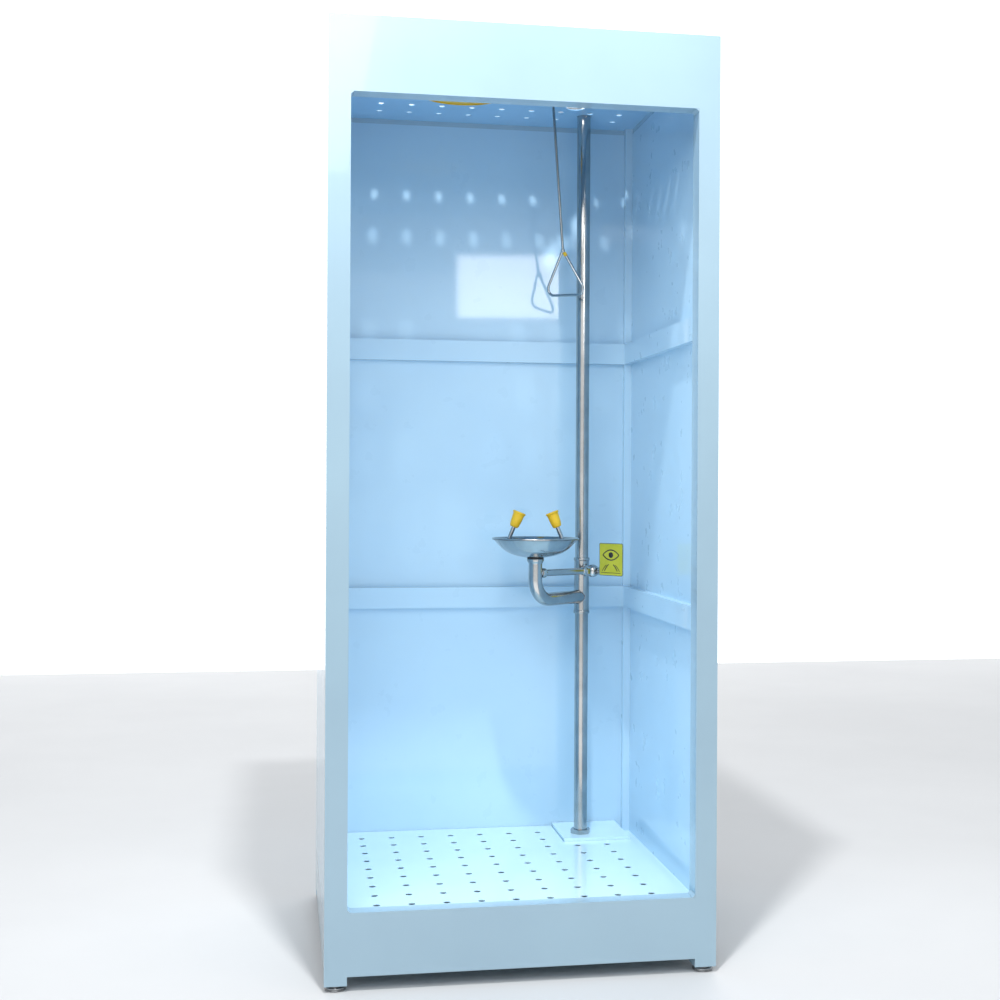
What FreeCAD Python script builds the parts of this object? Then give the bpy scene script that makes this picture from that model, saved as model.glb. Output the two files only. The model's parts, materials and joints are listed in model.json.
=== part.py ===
import FreeCAD, Part
import math
import os

import Sketcher
from FreeCAD import Vector

# Walk-in emergency shower cabin with an eyewash, a drench shower, a perforated floor and a catch tray.
# Frame: millimetres, +Z up, the open front faces -Y, +X is to the right seen from the front.
# The origin is the bottom centre of the cabin's box, on the ground under its feet.

DIMENSIONS = {
    # cabin
    "cabin_width": 1000, "cabin_depth": 890, "cabin_top": 2412,
    "post_size": 56, "post_wall": 2, "post_bottom": 15, "post_plug": 4,
    "sheet_wall": 1.5,
    "base_bottom": 37, "sill_height": 195, "sill_depth": 45, "opening_top": 2223,
    "wall_depth": 34, "wall_bottom": 163, "wall_top": 2352,
    "rail_height": 63, "lower_rail_bottom": 876, "upper_rail_bottom": 1632,
    # perforated sheets
    "hole_pitch": 88.86, "hole_radius": 9, "panel_sheet": 2,
    "ceiling_bottom": 2366, "ceiling_first_x": -327, "ceiling_first_y": -310, "ceiling_rows": 8,
    "floor_left": -443.5, "floor_right": 422, "floor_front": -399.5, "floor_back": 409,
    "floor_first_x": -368.6, "floor_first_y": -388, "floor_columns": 9, "floor_rows": 9,
    "notch_x": 221, "notch_y": 193, "floor_flange": 17.7,
    "plate_top": 204, "plate_gap": 2,
    # catch tray
    "tray_rim_top": 175, "tray_bottom": 90, "tray_half_width": 404, "tray_front": -386, "tray_back": 396,
    "tray_outlet_radius": 25, "tray_outlet_end": 45, "bearer_width": 30, "bearer_gap": 0.3,
    # ceiling beams
    "beam_width": 16, "beam_height": 30, "front_beam": 15, "clamp_wall": 4,
    "spare_x": 240, "spare_y": 163, "spare_radius": 28,
    "slot_start": 166, "slot_end": 222, "slot_side": 30, "slot_radius": 14,
    # levelling feet
    "foot_radius": 27, "foot_neck_radius": 18.5, "foot_height": 14.7, "stud_radius": 7, "stud_top": 60,
    "running_gap": 0.05,
    # plumbing frame: the riser's axis and the plan direction in which both arms point
    "riser_x": 285, "riser_y": 262, "arm_angle": 220,
    "pipe_radius": 20, "pipe_bore": 18, "socket_depth": 12,
    # combination tee
    "tee_bottom": 867, "tee_top": 1036, "tee_radius": 22.3, "tee_collar": 24, "tee_collar_height": 9,
    "drain_height": 918, "feed_height": 997, "valve_offset": 42,
    "waste_end": 45, "thread_length": 40, "locknut_height": 13, "locknut_circumradius": 31.7,
    # bowl and drain
    "bowl_reach": 216, "rim_height": 1100, "rim_radius": 126, "bowl_sheet": 1.5,
    "drain_radius": 19.8, "drain_bore": 17.8, "elbow_radius": 62, "neck_top": 1024,
    "coupling_top": 1038.5, "bowl_floor": 1042.5, "spigot_radius": 16, "coupling_radius": 25,
    # eyewash nozzles
    "nozzle_turn": 130, "nozzle_tube_radius": 6, "nozzle_bore": 4.5, "hub_height": 1064,
    "nozzle_foot": 84, "nozzle_foot_height": 1080,
    "nozzle_end": 60.3, "nozzle_end_height": 1140, "nozzle_bend": 22,
    "head_spray_radius": 8.5,
    # eyewash valve
    "boss_radius": 13, "boss_gap": 18, "port_radius": 6.5, "valve_face": 22,
    "feed_radius": 10, "feed_bore": 8, "ball_radius": 11, "ball_gap": 0.3, "stem_radius": 5,
    "push_width": 88, "push_height": 97, "push_bottom": 985, "push_left": 74, "push_front": 9, "push_sheet": 2,
    "push_corner": 5, "label_sheet": 0.5,
    # drench shower
    "arm_height": 2450, "arm_radius": 17, "arm_bore": 15, "head_reach": 529, "head_rim": 2326,
    "head_radius": 125, "arm_bend": 45, "drop_end": 2386, "nipple_end": 2545,
    "inlet_radius": 21, "valve_half": 31.5, "ball_port": 12.5, "lever_half": 9,
    "face_bottom": 2328, "face_ring_step": 25, "face_hole_radius": 1.5,
    "shower_valve_reach": 149.4, "shower_ball_radius": 19, "shower_stem_radius": 6, "lever_length": 75,
    "lever_rise": 45, "lever_plane": 42, "lever_sheet": 5, "link_plane": 34,
    # pull rod and handle
    "rod_radius": 4, "rod_end_reach": 100.8, "rod_end_side": 2.8, "rod_end_height": 1950.8,
    "handle_half_width": 82, "handle_drop": 133, "handle_corner": 20, "knuckle_radius": 6,
    "rod_length": 562.4, "handle_turn": 90, "handle_sway": 0,
}

doc = FreeCAD.newDocument("emergency_shower")
sheet = doc.addObject("Spreadsheet::Sheet", "dims")
for row, (alias, size) in enumerate(DIMENSIONS.items(), start=1):
    sheet.set("A%d" % row, alias)
    sheet.set("B%d" % row, str(size))
    sheet.setAlias("B%d" % row, alias)
doc.recompute()

parts = {}


def full(text):
    """An expression in the sheet's cells, with each alias given its sheet's name."""
    words = "".join(c if c.isalnum() or c == "_" else " " for c in str(text)).split()
    result = str(text)
    for word in sorted({w for w in words if w in DIMENSIONS}, key=len, reverse=True):
        result = replace_word(result, word, "dims." + word)
    return result


def replace_word(text, word, new):
    """Swap one whole word, leaving longer words that contain it alone."""
    pieces, place = [], 0
    while True:
        found = text.find(word, place)
        if found < 0:
            pieces.append(text[place:])
            return "".join(pieces)
        before = text[found - 1] if found else " "
        after = text[found + len(word)] if found + len(word) < len(text) else " "
        whole = not (before.isalnum() or before in "_.") and not (after.isalnum() or after == "_")
        pieces.append(text[place:found] + (new if whole else word))
        place = found + len(word)


def value(text):
    """The present value of an expression in the sheet's cells."""
    return float(sheet.evalExpression(full(text)))


def bind(thing, name, text):
    thing.setExpression(name, full(text))


def at(x=0, y=0, z=0, axis="0; 0; 1", turn=0):
    """A position and a turn about one axis, as a placement expression."""
    return "placement(vector(%s; %s; %s); rotation(vector(%s); %s))" % (x, y, z, axis, turn)


def move(thing, *frames):
    """Place an object by frames that each stand in the one before."""
    bind(thing, "Placement", " * ".join(frames))
    return thing


def finish_part(label, thing, *frames):
    """Name a finished piece and put it into the cabin."""
    thing.Label = label
    parts[label] = thing
    return move(thing, *frames) if frames else thing


def lying(start, x, y, axis):
    """The frame of a bar that starts at one position and runs along an axis."""
    if axis == "z":
        return at(x, y, start)
    if axis == "x":
        return at(start, x, y, "0; 1; 0", 90)
    return at(x, start, y, "1; 0; 0", -90)


def box(name, x, y, z):
    """A box between two sheet-driven limits on each axis."""
    solid = doc.addObject("Part::Box", name)
    for prop, (low, high) in zip(("Length", "Width", "Height"), (x, y, z)):
        bind(solid, prop, "(%s) - (%s)" % (high, low))
    return move(solid, at(x[0], y[0], z[0]))


def cylinder(name, radius, start, end, x=0, y=0, axis="z"):
    """A cylinder between two positions on one axis. x and y are the other two coordinates in order."""
    solid = doc.addObject("Part::Cylinder", name)
    bind(solid, "Radius", radius)
    bind(solid, "Height", "(%s) - (%s)" % (end, start))
    return move(solid, lying(start, x, y, axis))


def cone(name, low_radius, high_radius, start, end, x=0, y=0, axis="z"):
    solid = doc.addObject("Part::Cone", name)
    bind(solid, "Radius1", low_radius)
    bind(solid, "Radius2", high_radius)
    bind(solid, "Height", "(%s) - (%s)" % (end, start))
    return move(solid, lying(start, x, y, axis))


def sphere(name, radius, x, y, z):
    solid = doc.addObject("Part::Sphere", name)
    bind(solid, "Radius", radius)
    return move(solid, at(x, y, z))


def hexagon(name, circumradius, start, end, x=0, y=0, axis="z"):
    """A hexagonal bar for nuts."""
    solid = doc.addObject("Part::Prism", name)
    solid.Polygon = 6
    bind(solid, "Circumradius", circumradius)
    bind(solid, "Height", "(%s) - (%s)" % (end, start))
    return move(solid, lying(start, x, y, axis))


def fuse(name, pieces):
    joined = doc.addObject("Part::MultiFuse", name)
    joined.Shapes = pieces
    joined.Refine = True
    return joined


def together(name, pieces):
    """Separate pieces kept in one node."""
    group = doc.addObject("Part::Compound", name)
    group.Links = pieces
    return group


def cut(name, base, tools):
    """The base less one or more tools."""
    tool = tools[0] if len(tools) == 1 else fuse(name + "_tools", tools)
    result = doc.addObject("Part::Cut", name)
    result.Base = base
    result.Tool = tool
    result.Refine = True
    return result


def new_body(name):
    return doc.addObject("PartDesign::Body", name)


def sketch_on(body, role, name, offset=None):
    """A sketch on one of the body's own origin planes, raised along its normal by an expression."""
    sketch = body.newObject("Sketcher::SketchObject", name)
    plane = next(f for f in body.Origin.OriginFeatures if f.Role == role)
    sketch.AttachmentSupport = [(plane, "")]
    sketch.MapMode = "FlatFace"
    if offset is not None:
        bind(sketch, "AttachmentOffset.Base.z", offset)
    return sketch


def fix_point(sketch, geometry, end, x, y):
    """Tie one end of a sketch element to sheet-driven coordinates."""
    for kind, axis, text in (("DistanceX", -2, x), ("DistanceY", -1, y)):
        size = value(text)
        if abs(size) < 1e-9:
            sketch.addConstraint(Sketcher.Constraint("PointOnObject", geometry, end, axis))
        else:
            index = sketch.addConstraint(Sketcher.Constraint(kind, -1, 1, geometry, end, size))
            bind(sketch, "Constraints[%d]" % index, text)


def outline(sketch, points):
    """A closed outline. A point is (x, y), or (x, y, r) when an arc of radius r leads to the next one.

    A positive r bulges to the right of the direction of travel and a negative one to the left.
    """
    flat = [(value(p[0]), value(p[1])) for p in points]
    ends = []
    for i, point in enumerate(points):
        ax, ay = flat[i]
        bx, by = flat[(i + 1) % len(flat)]
        if len(point) == 2:
            line = sketch.addGeometry(Part.LineSegment(Vector(ax, ay, 0), Vector(bx, by, 0)))
            ends.append((line, 1, 2))
            continue
        radius = value(point[2])
        chord = math.hypot(bx - ax, by - ay)
        away = math.sqrt(radius ** 2 - chord ** 2 / 4) * (-1 if radius > 0 else 1)
        nx, ny = (by - ay) / chord, (ax - bx) / chord
        cx, cy = (ax + bx) / 2 + away * nx, (ay + by) / 2 + away * ny
        circle = Part.Circle(Vector(cx, cy, 0), Vector(0, 0, 1), abs(radius))
        first = math.atan2(ay - cy, ax - cx)
        last = math.atan2(by - cy, bx - cx)
        if radius < 0:
            first, last = last, first
        if last < first:
            last += 2 * math.pi
        arc = sketch.addGeometry(Part.ArcOfCircle(circle, first, last))
        ends.append((arc, 1, 2) if radius > 0 else (arc, 2, 1))
        index = sketch.addConstraint(Sketcher.Constraint("Radius", arc, abs(radius)))
        bind(sketch, "Constraints[%d]" % index, "abs(%s)" % point[2])
    for i, (geometry, start, _) in enumerate(ends):
        before, _, end = ends[i - 1]
        sketch.addConstraint(Sketcher.Constraint("Coincident", before, end, geometry, start))
        fix_point(sketch, geometry, start, points[i][0], points[i][1])


def ring(sketch, x, y, *radii):
    """Circles about one centre."""
    for radius in radii:
        circle = sketch.addGeometry(Part.Circle(Vector(value(x), value(y), 0), Vector(0, 0, 1), value(radius)))
        fix_point(sketch, circle, 3, x, y)
        index = sketch.addConstraint(Sketcher.Constraint("Radius", circle, value(radius)))
        bind(sketch, "Constraints[%d]" % index, radius)


def pad(body, sketch, length):
    """A pad along the sketch's normal."""
    feature = body.newObject("PartDesign::Pad", sketch.Name + "_pad")
    feature.Profile = sketch
    bind(feature, "Length", length)
    sketch.Visibility = False
    body.Tip = feature
    return feature


def pocket_through(body, sketch):
    """A hole down through a sheet from a sketch that stands 1 mm above it."""
    doc.recompute()
    before = body.Shape.Volume
    feature = body.newObject("PartDesign::Pocket", sketch.Name + "_pocket")
    feature.Profile = sketch
    bind(feature, "Length", "panel_sheet + 2")
    body.Tip = feature
    doc.recompute()
    if not body.Shape.Volume < before - 1:
        raise RuntimeError(sketch.Name + " cuts nothing")
    return feature


def grid_pattern(body, feature, columns, rows):
    """Repeat a hole over a square grid. The second count runs one past the last row."""
    pattern = body.newObject("PartDesign::LinearPattern", feature.Name + "_grid")
    pattern.Originals = [feature]
    axes = {f.Role: f for f in body.Origin.OriginFeatures}
    pattern.Direction = (axes["X_Axis"], [""])
    pattern.Direction2 = (axes["Y_Axis"], [""])
    pattern.Mode = 1
    pattern.Mode2 = 1
    bind(pattern, "Offset", "hole_pitch")
    bind(pattern, "Offset2", "hole_pitch")
    bind(pattern, "Occurrences", columns)
    bind(pattern, "Occurrences2", rows + " + 1")
    body.Tip = pattern
    return pattern


def revolved(name, points):
    """A body turned about Z from an outline of (radius, height) points."""
    body = new_body(name)
    sketch = sketch_on(body, "XZ_Plane", name + "_profile")
    outline(sketch, points)
    feature = body.newObject("PartDesign::Revolution", name + "_turn")
    feature.Profile = sketch
    feature.ReferenceAxis = (sketch, ["V_Axis"])
    feature.Angle = 360
    body.Tip = feature
    return body


def bent_path(sketch, corners, bends):
    """A path of straight runs joined by tangent arcs, given by its sheet-driven corners and bend radii."""
    flat = [Vector(value(x), value(y), 0) for x, y in corners]
    starts, finishes = [flat[0]], []
    arcs = []
    for i in range(1, len(flat) - 1):
        back = (flat[i - 1] - flat[i]).normalize()
        ahead = (flat[i + 1] - flat[i]).normalize()
        half = back.getAngle(ahead) / 2
        radius = value(bends[i - 1])
        reach = radius / math.tan(half)
        first, last = flat[i] + back * reach, flat[i] + ahead * reach
        centre = flat[i] + (back + ahead).normalize() * (radius / math.sin(half))
        middle = centre + (flat[i] - centre).normalize() * radius
        arcs.append(Part.Arc(first, middle, last))
        finishes.append(first)
        starts.append(last)
    finishes.append(flat[-1])
    marks = []
    for i, (x, y) in enumerate(corners[1:-1], start=1):
        mark = sketch.addGeometry(Part.Point(flat[i]), True)
        fix_point(sketch, mark, 1, x, y)
        marks.append(mark)
    lines = [sketch.addGeometry(Part.LineSegment(a, b)) for a, b in zip(starts, finishes)]
    fix_point(sketch, lines[0], 1, *corners[0])
    fix_point(sketch, lines[-1], 2, *corners[-1])
    for i, arc in enumerate(arcs):
        bend = sketch.addGeometry(arc)
        for line, end in ((lines[i], 2), (lines[i + 1], 1)):
            point = sketch.getPoint(line, end)
            near = 1 if (sketch.getPoint(bend, 1) - point).Length < 1e-6 else 2
            sketch.addConstraint(Sketcher.Constraint("Tangent", line, end, bend, near))
            sketch.addConstraint(Sketcher.Constraint("PointOnObject", marks[i], 1, line))
        index = sketch.addConstraint(Sketcher.Constraint("Radius", bend, value(bends[i])))
        bind(sketch, "Constraints[%d]" % index, bends[i])


def bent_tube(name, corners, bends, radius, bore=None):
    """A tube or rod along a bent path in the body's XZ plane. It starts along Z or along X."""
    body = new_body(name)
    path = sketch_on(body, "XZ_Plane", name + "_path")
    bent_path(path, corners, bends)
    first, second = [Vector(value(x), 0, value(y)) for x, y in corners[:2]]
    profile = body.newObject("Sketcher::SketchObject", name + "_section")
    profile.AttachmentSupport = [(path, "Edge1")]
    profile.MapMode = "NormalToEdge"
    radii = [radius] if bore is None else [radius, bore]
    ring(profile, 0, 0, *radii)
    feature = body.newObject("PartDesign::AdditivePipe", name + "_sweep")
    feature.Profile = profile
    feature.Spine = (path, [])
    body.Tip = feature
    length = path_length([(value(x), value(y)) for x, y in corners], [value(b) for b in bends])
    area = math.pi * (value(radius) ** 2 - (value(bore) ** 2 if bore else 0))
    doc.recompute()
    if abs(body.Shape.Volume / (length * area) - 1) > 0.02:
        raise RuntimeError("%s has a wrong volume" % name)
    if (second - first).Length < value(radius):
        raise RuntimeError("%s starts with too short a run" % name)
    return body


def path_length(corners, bends):
    """The length of runs and arcs of a bent path."""
    total = 0
    cut_back = 0
    for i in range(1, len(corners)):
        run = math.dist(corners[i - 1], corners[i]) - cut_back
        cut_back = 0
        if i < len(corners) - 1:
            back = Vector(*corners[i - 1], 0) - Vector(*corners[i], 0)
            ahead = Vector(*corners[i + 1], 0) - Vector(*corners[i], 0)
            inside = back.getAngle(ahead)
            cut_back = bends[i - 1] / math.tan(inside / 2)
            total += bends[i - 1] * (math.pi - inside)
        total += run - cut_back
    return total


# ---------------------------------------------------------------- frames of reference

LEAN = "atan((nozzle_foot - nozzle_end) / (nozzle_end_height - nozzle_foot_height))"
SKEW = "-atan(valve_offset / bowl_reach)"

# The riser's axis with +X along both arms, the bowl's axis, and the eyewash valve with +X toward the bowl.
ARM = at("riser_x", "riser_y", 0, turn="arm_angle")
BOWL = at("bowl_reach", 0, 0)
NOZZLES = at("bowl_reach", 0, 0, turn="nozzle_turn")
VALVE = at(0, "valve_offset", "feed_height", turn=SKEW)
VALVE_TO_BOWL = "sqrt(bowl_reach ^ 2 + valve_offset ^ 2)"

# ---------------------------------------------------------------- cabin frame

SIDE = "cabin_width / 2"
BACK = "cabin_depth / 2"
INNER_SIDE = "(cabin_width / 2 - post_size)"
FRONT_INNER = "(post_size - cabin_depth / 2)"
BACK_INNER = "(cabin_depth / 2 - post_size)"
LINER_SIDE = "(cabin_width / 2 - wall_depth)"
LINER_BACK = "(cabin_depth / 2 - wall_depth)"
PANEL_BACK = "(sill_depth - cabin_depth / 2)"
ACROSS = ("-" + INNER_SIDE, INNER_SIDE)
ALONG = (FRONT_INNER, BACK_INNER)


def square_post(label, x, y):
    """A closed square tube, with a bore in its bottom plug for the foot's stud."""
    outside = box(label + "_outside", (x, x + " + post_size"), (y, y + " + post_size"),
                  ("post_bottom", "cabin_top"))
    inside = box(label + "_inside", (x + " + post_wall", x + " + post_size - post_wall"),
                 (y + " + post_wall", y + " + post_size - post_wall"),
                 ("post_bottom + post_plug", "cabin_top - post_wall"))
    bore = cylinder(label + "_bore", "stud_radius + running_gap",
                    "post_bottom - 1", "post_bottom + post_plug + 1",
                    x + " + post_size / 2", y + " + post_size / 2")
    finish_part(label, cut(label, outside, [inside, bore]))


def sheet_tube(label, x, y, z, along):
    """A box section folded from sheet, open at its two ends along one axis."""
    wall = "sheet_wall"
    limits = []
    for axis, (low, high) in zip("xyz", (x, y, z)):
        if axis == along:
            limits.append(("(%s) - 1" % low, "(%s) + 1" % high))
        else:
            limits.append(("(%s) + %s" % (low, wall), "(%s) - %s" % (high, wall)))
    return cut(label, box(label + "_outside", x, y, z), [box(label + "_inside", *limits)])


def rail_set(prefix, depth_low, depth_high, height):
    """Rails along the left, right and back walls between the posts."""
    low, high = ("cabin_width / 2 - " + depth_low, "cabin_width / 2 - " + depth_high)
    back = ("cabin_depth / 2 - " + depth_low, "cabin_depth / 2 - " + depth_high)
    left = ("%s - cabin_width / 2" % depth_high, "%s - cabin_width / 2" % depth_low)
    return [
        sheet_tube("left_" + prefix, left, ALONG, height, "y"),
        sheet_tube("right_" + prefix, (low, high), ALONG, height, "y"),
        sheet_tube("back_" + prefix, ACROSS, back, height, "x"),
    ]


for name, x in (("left", "-" + SIDE), ("right", SIDE + " - post_size")):
    square_post("front_%s_post" % name, x, "-" + BACK)
    square_post("back_%s_post" % name, x, BACK + " - post_size")

finish_part("header_panel", sheet_tube(
    "header_panel", ACROSS, ("-" + BACK, FRONT_INNER), ("opening_top", "cabin_top"), "x"))
finish_part("base_panel", sheet_tube(
    "base_panel", ACROSS, ("-" + BACK, PANEL_BACK), ("base_bottom", "sill_height"), "x"))

base_rails = rail_set("base_rail", "wall_depth", "0", ("base_bottom", "wall_bottom"))
finish_part("base_rails", together("base_rails", base_rails))
top_rails = rail_set("top_rail", "wall_depth", "0", ("wall_top", "cabin_top"))
finish_part("top_rails", together("top_rails", top_rails))

WALL = ("wall_bottom", "wall_top")
finish_part("left_wall_panel", sheet_tube("left_wall_panel", ("-" + SIDE, "-" + LINER_SIDE), ALONG, WALL, "z"))
finish_part("right_wall_panel", sheet_tube("right_wall_panel", (LINER_SIDE, SIDE), ALONG, WALL, "z"))
finish_part("back_wall_panel", sheet_tube("back_wall_panel", ACROSS, (LINER_BACK, BACK), WALL, "z"))

lower_rails = rail_set("lower_rail", "post_size", "wall_depth",
                       ("lower_rail_bottom", "lower_rail_bottom + rail_height"))
upper_rails = rail_set("upper_rail", "post_size", "wall_depth",
                       ("upper_rail_bottom", "upper_rail_bottom + rail_height"))
for name, lower, upper in zip(("left", "right", "back"), lower_rails, upper_rails):
    finish_part(name + "_wall_rails", together(name + "_wall_rails", [lower, upper]))

# ---------------------------------------------------------------- floor and tray


def floor_panel():
    """The lift-out perforated floor: a flanged sheet with a notch for the corner plate."""
    body = new_body("floor_panel")
    blank = sketch_on(body, "XY_Plane", "floor_blank", "sill_height - panel_sheet - floor_flange")
    outline(blank, [
        ("floor_left", "floor_front"), ("floor_right", "floor_front"), ("floor_right", "notch_y"),
        ("notch_x", "notch_y"), ("notch_x", "floor_back"), ("floor_left", "floor_back"),
    ])
    pad(body, blank, "panel_sheet + floor_flange")
    doc.recompute()
    solid_volume = body.Shape.Volume
    under = sketch_on(body, "XY_Plane", "floor_underside", "sill_height - panel_sheet")
    left, right = "floor_left + panel_sheet", "floor_right - panel_sheet"
    front, back = "floor_front + panel_sheet", "floor_back - panel_sheet"
    notch_x, notch_y = "notch_x - panel_sheet", "notch_y - panel_sheet"
    outline(under, [
        (left, front), (right, front), (right, notch_y), (notch_x, notch_y), (notch_x, back), (left, back),
    ])
    hollow = body.newObject("PartDesign::Pocket", "floor_hollow")
    hollow.Profile = under
    bind(hollow, "Length", "floor_flange + 1")
    body.Tip = hollow
    doc.recompute()
    if not body.Shape.Volume < solid_volume / 3:
        raise RuntimeError("the floor panel's underside is not hollow")
    hole = sketch_on(body, "XY_Plane", "floor_hole", "sill_height + 1")
    ring(hole, "floor_first_x", "floor_first_y", "hole_radius")
    grid_pattern(body, pocket_through(body, hole), "floor_columns", "floor_rows")
    finish_part("floor_panel", body)


def corner_plate():
    """The raised plate through which the waste pipe stands."""
    left, front = "notch_x + plate_gap", "notch_y + plate_gap"
    sheet_step = " + panel_sheet"
    outside = box("plate_outside", (left, "floor_right"), (front, "floor_back"), ("tray_rim_top", "plate_top"))
    inside = box("plate_inside", (left + sheet_step, "floor_right - panel_sheet"),
                 (front + sheet_step, "floor_back - panel_sheet"), ("tray_rim_top - 1", "plate_top - panel_sheet"))
    bore = cylinder("plate_bore", "pipe_radius + 1", "plate_top - 10", "plate_top + 1", "riser_x", "riser_y")
    finish_part("corner_plate", cut("corner_plate", outside, [inside, bore]))


def floor_bearers():
    """Tubes that carry the floor panel between its rows of holes."""
    tubes = []
    for number in (1.5, 3.5, 5.5):
        middle = "floor_first_y + %s * hole_pitch" % number
        tubes.append(sheet_tube(
            "bearer_%d" % (number + 0.5), ("floor_left + 3.5", "floor_right - 10"),
            (middle + " - bearer_width / 2", middle + " + bearer_width / 2"),
            ("tray_rim_top", "sill_height - panel_sheet - bearer_gap"), "x"))
    finish_part("floor_bearers", together("floor_bearers", tubes))


def catch_tray():
    """A pan hung from a flat rim, with an outlet spigot and a hole for the waste pipe."""
    rim_body = new_body("tray_rim")
    rim = sketch_on(rim_body, "XY_Plane", "tray_rim_outline", "tray_rim_top - sheet_wall")
    half, inner = LINER_SIDE, INNER_SIDE
    outline(rim, [
        ("-" + inner, PANEL_BACK), (inner, PANEL_BACK), (inner, FRONT_INNER), (half, FRONT_INNER),
        (half, BACK_INNER), (inner, BACK_INNER), (inner, LINER_BACK), ("-" + inner, LINER_BACK),
        ("-" + inner, BACK_INNER), ("-" + half, BACK_INNER), ("-" + half, FRONT_INNER), ("-" + inner, FRONT_INNER),
    ])
    pad(rim_body, rim, "sheet_wall")
    pan = box("pan_outside", ("-tray_half_width - sheet_wall", "tray_half_width + sheet_wall"),
              ("tray_front - sheet_wall", "tray_back + sheet_wall"),
              ("tray_bottom - sheet_wall", "tray_rim_top - sheet_wall / 2"))
    hollow = box("pan_inside", ("-tray_half_width", "tray_half_width"), ("tray_front", "tray_back"),
                 ("tray_bottom", "tray_rim_top + 1"))
    spigot = cylinder("spigot", "tray_outlet_radius", "tray_outlet_end", "tray_bottom")
    drain = cylinder("spigot_bore", "tray_outlet_radius - 2", "tray_outlet_end - 1", "tray_bottom + 1")
    waste = cylinder("tray_waste_bore", "pipe_radius", "tray_bottom - 5", "tray_bottom + 5",
                     "riser_x", "riser_y")
    solid = fuse("tray_solid", [rim_body, pan, spigot])
    finish_part("catch_tray", cut("catch_tray", solid, [hollow, drain, waste]))


floor_panel()
corner_plate()
floor_bearers()
catch_tray()

# ---------------------------------------------------------------- ceiling


def ceiling_panel():
    """The perforated ceiling with holes for the riser, the shower's neck, the pull rod and a spare entry."""
    body = new_body("ceiling_sheet")
    edge = sketch_on(body, "XY_Plane", "ceiling_outline", "ceiling_bottom")
    half, inner = LINER_SIDE + " - 0.5", INNER_SIDE + " - 0.5"
    front, corner, back = FRONT_INNER + " + 0.5", BACK_INNER + " - 0.5", LINER_BACK + " - 0.5"
    outline(edge, [
        ("-(%s)" % half, front), (half, front), (half, corner), (inner, corner), (inner, back),
        ("-(%s)" % inner, back), ("-(%s)" % inner, corner), ("-(%s)" % half, corner),
    ])
    pad(body, edge, "panel_sheet")
    hole = sketch_on(body, "XY_Plane", "ceiling_hole", "ceiling_bottom + panel_sheet + 1")
    ring(hole, "ceiling_first_x", "ceiling_first_y", "hole_radius")
    grid_pattern(body, pocket_through(body, hole), "floor_columns", "ceiling_rows")
    entries = sketch_on(body, "XY_Plane", "ceiling_entries", "ceiling_bottom + panel_sheet + 1")
    ring(entries, "riser_x", "riser_y", "pipe_radius + 1.5")
    ring(entries, "riser_x + head_reach * cos(arm_angle)", "riser_y + head_reach * sin(arm_angle)",
         "pipe_radius + 4")
    ring(entries, "spare_x", "spare_y", "spare_radius")
    pocket_through(body, entries)
    low, high = "ceiling_bottom - 5", "ceiling_bottom + panel_sheet + 5"
    slot = fuse("rod_slot", [
        box("slot_middle", ("slot_start", "slot_end"), ("slot_side - slot_radius", "slot_side + slot_radius"),
            (low, high)),
        cylinder("slot_near_end", "slot_radius", low, high, "slot_start", "slot_side"),
        cylinder("slot_far_end", "slot_radius", low, high, "slot_end", "slot_side")])
    move(slot, ARM)
    finish_part("ceiling_panel", cut("ceiling_panel", body, [slot]))


ceiling_panel()

BEAM = ("ceiling_bottom + panel_sheet", "ceiling_bottom + panel_sheet + beam_height")
finish_part("ceiling_beams", together("ceiling_beams", [
    sheet_tube("beam_%d" % number, ("-" + LINER_SIDE, LINER_SIDE), (low, low + " + beam_width"), BEAM, "x")
    for number, low in enumerate(("riser_y + pipe_radius + clamp_wall", "front_beam"), start=1)]))

clamp_low, clamp_high = "ceiling_bottom + panel_sheet + 5", "ceiling_bottom + panel_sheet + 25"
clamp_solid = fuse("clamp_solid", [
    cylinder("clamp_ring", "pipe_radius + clamp_wall", clamp_low, clamp_high, "riser_x", "riser_y"),
    box("clamp_lug", ("riser_x - 40", "riser_x + 40"),
        ("riser_y + pipe_radius - 3", "riser_y + pipe_radius + clamp_wall"), (clamp_low, clamp_high))])
finish_part("riser_clamp", cut("riser_clamp", clamp_solid, [
    cylinder("clamp_bore", "pipe_radius", clamp_low + " - 1", clamp_high + " + 1", "riser_x", "riser_y")]))

# ---------------------------------------------------------------- levelling feet

for name, x, y in (("front_left", "-", "-"), ("front_right", "", "-"),
                   ("back_left", "-", ""), ("back_right", "", "")):
    foot = revolved(name + "_foot", [
        (0, 0), ("foot_radius - 2", 0), ("foot_radius", 2), ("foot_radius", 4), ("foot_radius - 1", 4.7),
        ("foot_radius", 5.4), ("foot_radius", 8), ("foot_radius - 1.5", 9.2), ("foot_neck_radius", 9.2),
        ("foot_neck_radius", "foot_height"), ("stud_radius", "foot_height"), ("stud_radius", "stud_top - 1"),
        ("stud_radius - 1", "stud_top"), (0, "stud_top")])
    finish_part(name + "_foot", foot, at(
        "%s(cabin_width / 2 - post_size / 2)" % x, "%s(cabin_depth / 2 - post_size / 2)" % y, 0))

# ---------------------------------------------------------------- riser, tee and waste


def pipe(label, radius, bore, start, end, axis="z", x=0, y=0, stub=None):
    """A straight pipe in the arm frame. Its stub, if any, is one end turned to another radius."""
    outside = cylinder(label + "_outside", radius, start, end, x, y, axis)
    low, high = start, end
    if stub:
        stub_radius, stub_start, stub_end = stub
        turned_end = cylinder(label + "_stub", stub_radius, stub_start, stub_end)
        outside = fuse(label + "_solid", [outside, turned_end])
        low = stub_start
    finish_part(label, cut(label, outside, [
        cylinder(label + "_bore", bore, "(%s) - 1" % low, "(%s) + 1" % high, x, y, axis)]), ARM)


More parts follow.
